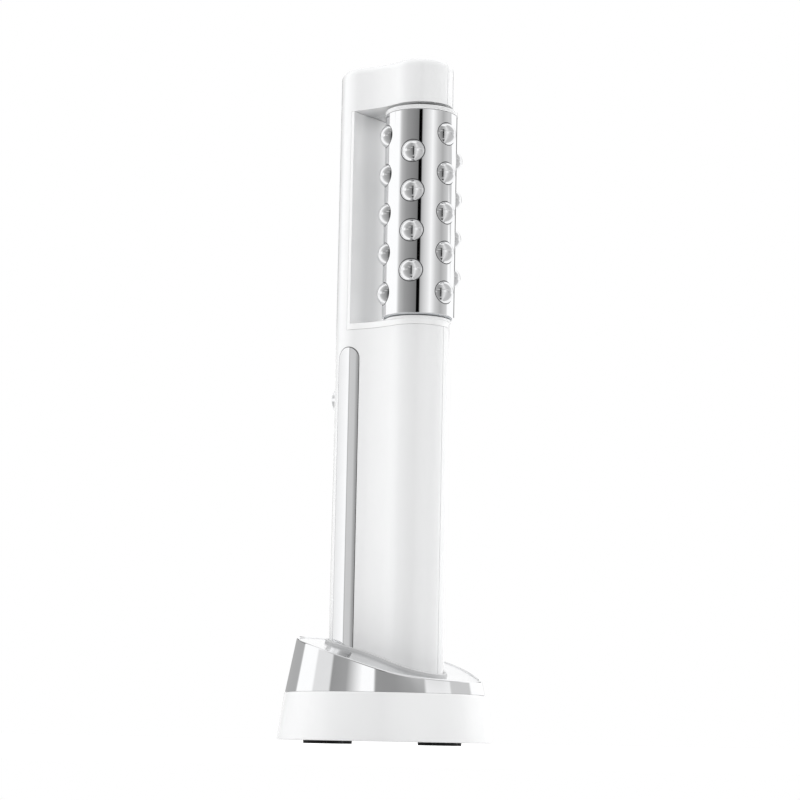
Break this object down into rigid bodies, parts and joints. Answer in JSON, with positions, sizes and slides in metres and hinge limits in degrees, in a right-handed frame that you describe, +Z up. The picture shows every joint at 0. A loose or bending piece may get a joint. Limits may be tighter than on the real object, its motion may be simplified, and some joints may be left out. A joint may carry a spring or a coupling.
{
  "type": "facial toning device",
  "caption": "Handheld facial toning wand with a studded polished roller in an open window, standing in a round charging cradle with a sloping polished band.",
  "frame": {"origin": "centre of the cradle's footprint on the table", "axes": "+Z up along the wand, -Y towards the roller, +Y towards the power button and the power inlet"},
  "size_m": [0.0702, 0.0702, 0.2265],
  "materials": {
    "white_shell": "gloss moulded",
    "polished_chrome": "mirror plated",
    "satin_chrome": "plated deck",
    "white_inner": "satin moulded",
    "steel": "machined",
    "black_rubber": "moulded",
    "green_board": "solder mask",
    "copper_coil": "wound wire",
    "dark_plastic": "moulded",
    "cell_wrap": "shrink wrap",
    "light_pipe": "clear moulded"
  },
  "bodies": {
    "cradle": {"cradle_skirt": "white_shell", "cradle_band": "polished_chrome", "cradle_deck": "satin_chrome", "cradle_well": "white_inner", "base_plate": "white_inner", "rubber_feet": "black_rubber", "plate_screws": "steel", "ballast_ring": "steel", "charger_board": "green_board", "sending_coil": "copper_coil", "power_inlet": "steel"},
    "wand": {"handle_shell_left": "white_shell", "handle_shell_right": "white_shell", "foot_cap": "white_shell", "roller_bay": "white_shell", "inner_frame": "white_inner", "main_board": "green_board", "battery_cell": "cell_wrap", "vibration_motor": "steel", "receiving_coil": "copper_coil", "shell_screws": "steel", "contact_strip_left": "polished_chrome", "contact_strip_right": "polished_chrome", "button_switch": "dark_plastic", "status_light": "light_pipe", "roller_axle": "steel", "axle_bushes": "dark_plastic"},
    "roller": {"roller_sleeve": "polished_chrome", "massage_studs": "polished_chrome", "roller_cap_upper": "polished_chrome", "roller_cap_lower": "white_inner"},
    "button": {"power_button": "polished_chrome"},
    "motor_weight": {"eccentric_weight": "copper_coil"}
  },
  "joints": [
    {"name": "wand_lift", "type": "slide", "parent": "cradle", "child": "wand", "axis": [0, 0, 1], "range_m": [0, 0.04]},
    {"name": "roller_spin", "type": "hinge", "parent": "wand", "child": "roller", "pos_m": [0, -0.0104, 0.174], "axis": [0, 0, 1], "continuous": true},
    {"name": "button_press", "type": "slide", "parent": "wand", "child": "button", "axis": [0, -1, 0], "range_m": [0, 0.0006], "stiffness_N_per_m": 600, "springref_m": -0.0004},
    {"name": "motor_weight_spin", "type": "hinge", "parent": "wand", "child": "motor_weight", "pos_m": [0, -0.0104, 0.1256], "axis": [0, 0, 1], "continuous": true}
  ]
}
